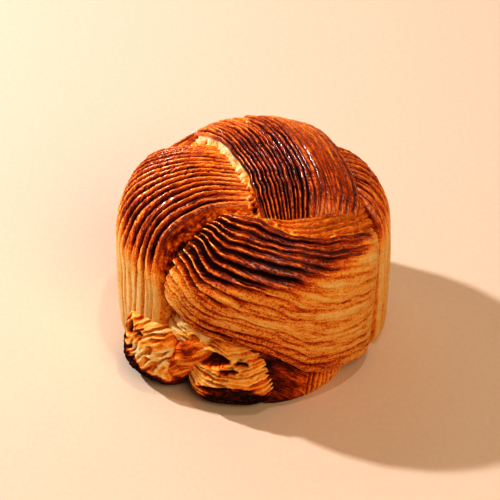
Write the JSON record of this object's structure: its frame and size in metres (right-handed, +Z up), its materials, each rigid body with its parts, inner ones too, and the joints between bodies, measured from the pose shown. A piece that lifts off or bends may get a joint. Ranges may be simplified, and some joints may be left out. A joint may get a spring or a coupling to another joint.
{
  "type": "cruffin",
  "caption": "Round knotted pastry of laminated dough, its ridged strands wound over and under each other and baked in a ring mould.",
  "frame": {"origin": "the middle of the foot that the pastry stands on", "axes": "+Z up; -Y towards the side with the two cut ends of dough, +X to its right"},
  "size_m": [0.0831, 0.0829, 0.0636],
  "materials": {
    "crust": "baked pastry crust: dark mahogany and butter-glazed on top, golden to pale tan at the sides"
  },
  "bodies": {
    "root": {"cruffin": "crust"}
  },
  "joints": []
}
